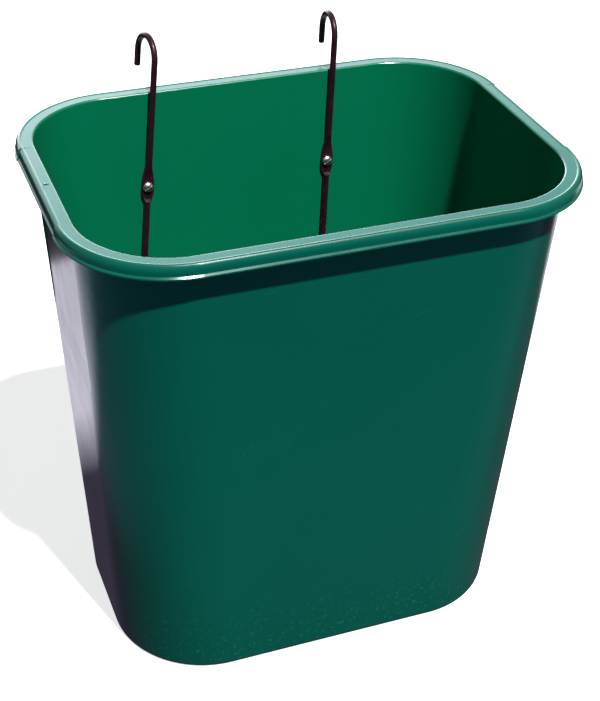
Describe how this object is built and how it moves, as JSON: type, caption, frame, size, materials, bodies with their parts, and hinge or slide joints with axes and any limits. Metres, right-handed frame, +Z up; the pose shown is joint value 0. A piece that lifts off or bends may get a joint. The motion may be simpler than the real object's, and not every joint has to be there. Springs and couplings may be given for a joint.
{
  "type": "hook-over feed bucket",
  "caption": "Tall rectangular moulded plastic feed tub with a rolled rim, hung on a rail by wire hook hangers that swing on screws through the back wall.",
  "frame": {"origin": "on the floor, under the centre of the tub's base", "axes": "+Z up, +X along the long side to the right seen from the front, +Y towards the rail that the hooks go over"},
  "size_m": [0.3682, 0.2835, 0.4158],
  "materials": {
    "tub_plastic": "satin moulded polyethylene, dark green, lightly scuffed",
    "hanger_paint": "dark brown-black paint on 3/16 in round steel",
    "zinc": "bright zinc plate"
  },
  "bodies": {
    "tub": {"bucket_shell": "tub_plastic", "left_pivot_screw": "zinc", "left_washer": "zinc", "left_nut": "zinc", "right_pivot_screw": "zinc", "right_washer": "zinc", "right_nut": "zinc"},
    "left_hanger": {"left_hanger_rod": "hanger_paint"},
    "right_hanger": {"right_hanger_rod": "hanger_paint"}
  },
  "joints": [
    {"name": "left_hanger_swing", "type": "hinge", "parent": "tub", "child": "left_hanger", "pos_m": [-0.0774, 0.11606, 0.2993], "axis": [0, 0.9987, -0.0506], "range_deg": [-35.4, 14.6]},
    {"name": "right_hanger_swing", "type": "hinge", "parent": "tub", "child": "right_hanger", "pos_m": [0.0694, 0.11606, 0.2993], "axis": [0, 0.9987, -0.0506], "range_deg": [-29.6, 27.4]}
  ]
}
